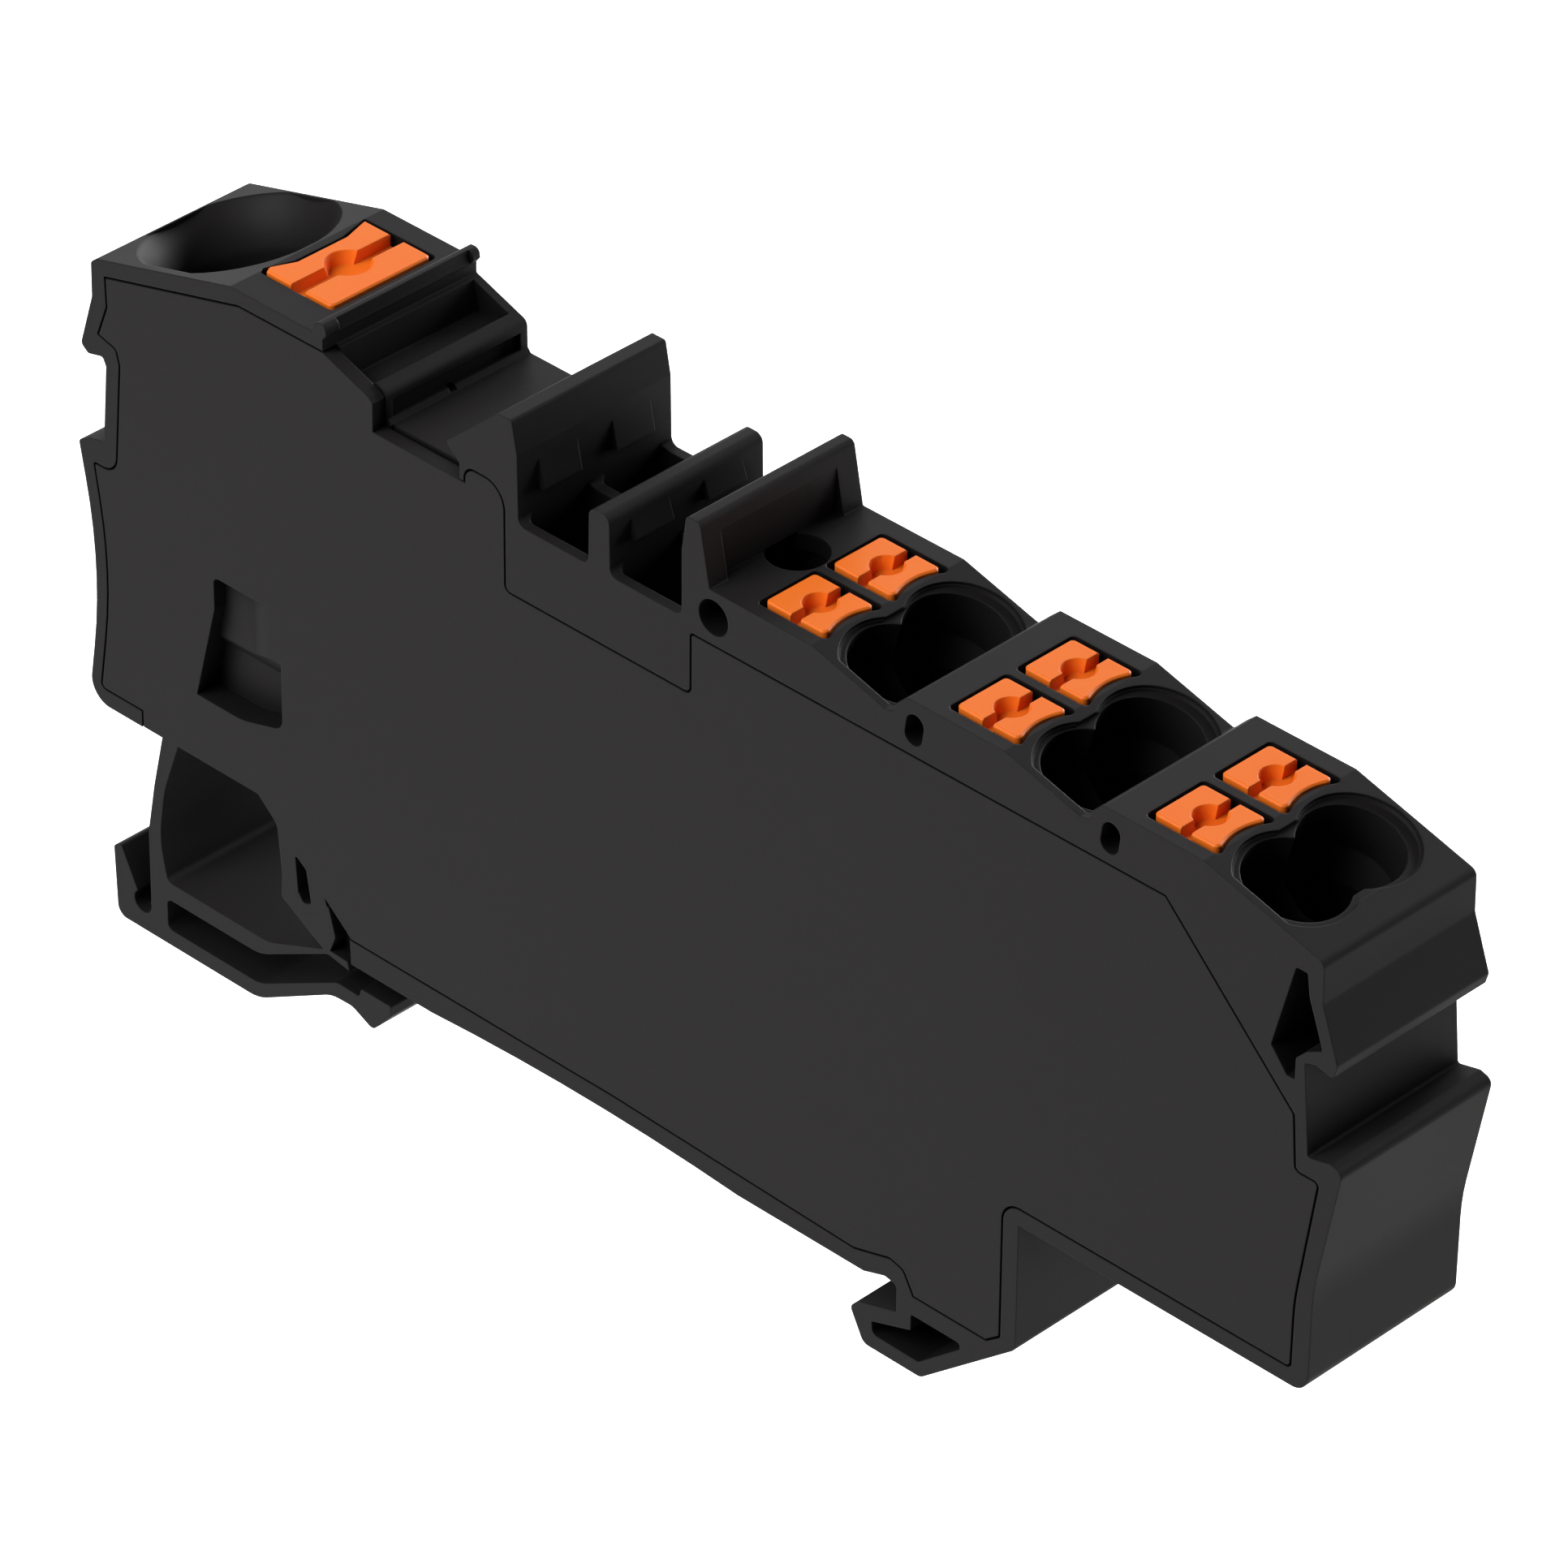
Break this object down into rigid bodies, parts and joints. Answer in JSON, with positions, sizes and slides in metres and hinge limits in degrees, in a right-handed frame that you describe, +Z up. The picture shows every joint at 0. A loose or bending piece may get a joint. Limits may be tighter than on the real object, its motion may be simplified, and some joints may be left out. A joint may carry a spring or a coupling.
{
  "type": "terminal block",
  "caption": "Slim feed-through terminal block for a 35 mm rail, with a large spring clamp, smaller double clamps, orange push buttons and bridge slots.",
  "frame": {"origin": "middle of the rail seat, half way through the block's thickness", "axes": "+X along the block towards the double clamps, +Y through the thickness away from the side cover, +Z up from the rail seat"},
  "size_m": [0.0787, 0.0096, 0.0402],
  "materials": {
    "housing": "finely sparked moulding face, dark grey",
    "side_cover": "finely sparked moulding face, dark grey",
    "buttons": "satin orange moulding",
    "current_bar": "tin-plated copper strip, stamped and bent",
    "springs": "rolled spring steel strip"
  },
  "bodies": {
    "block": {"housing": "housing", "side_cover": "side_cover", "current_bar": "current_bar", "large_spring": "springs", "small_spring_1_front": "springs", "small_spring_1_back": "springs", "small_spring_2_front": "springs", "small_spring_2_back": "springs", "small_spring_3_front": "springs", "small_spring_3_back": "springs"},
    "large_button": {"large_button": "buttons"},
    "small_button_1_front": {"small_button_1_front": "buttons"},
    "small_button_1_back": {"small_button_1_back": "buttons"},
    "small_button_2_front": {"small_button_2_front": "buttons"},
    "small_button_2_back": {"small_button_2_back": "buttons"},
    "small_button_3_front": {"small_button_3_front": "buttons"},
    "small_button_3_back": {"small_button_3_back": "buttons"}
  },
  "joints": [
    {"name": "large_press", "type": "slide", "parent": "block", "child": "large_button", "axis": [0, 0, -1], "range_m": [0, 0.0012], "stiffness_N_per_m": 6000, "springref_m": -0.001, "deforming": ["large_spring"]},
    {"name": "small_press_1_front", "type": "slide", "parent": "block", "child": "small_button_1_front", "axis": [0, 0, -1], "range_m": [0, 0.0012], "stiffness_N_per_m": 3500, "springref_m": -0.001, "deforming": ["small_spring_1_front"]},
    {"name": "small_press_1_back", "type": "slide", "parent": "block", "child": "small_button_1_back", "axis": [0, 0, -1], "range_m": [0, 0.0012], "stiffness_N_per_m": 3500, "springref_m": -0.001, "deforming": ["small_spring_1_back"]},
    {"name": "small_press_2_front", "type": "slide", "parent": "block", "child": "small_button_2_front", "axis": [0, 0, -1], "range_m": [0, 0.0012], "stiffness_N_per_m": 3500, "springref_m": -0.001, "deforming": ["small_spring_2_front"]},
    {"name": "small_press_2_back", "type": "slide", "parent": "block", "child": "small_button_2_back", "axis": [0, 0, -1], "range_m": [0, 0.0012], "stiffness_N_per_m": 3500, "springref_m": -0.001, "deforming": ["small_spring_2_back"]},
    {"name": "small_press_3_front", "type": "slide", "parent": "block", "child": "small_button_3_front", "axis": [0, 0, -1], "range_m": [0, 0.0012], "stiffness_N_per_m": 3500, "springref_m": -0.001, "deforming": ["small_spring_3_front"]},
    {"name": "small_press_3_back", "type": "slide", "parent": "block", "child": "small_button_3_back", "axis": [0, 0, -1], "range_m": [0, 0.0012], "stiffness_N_per_m": 3500, "springref_m": -0.001, "deforming": ["small_spring_3_back"]}
  ]
}
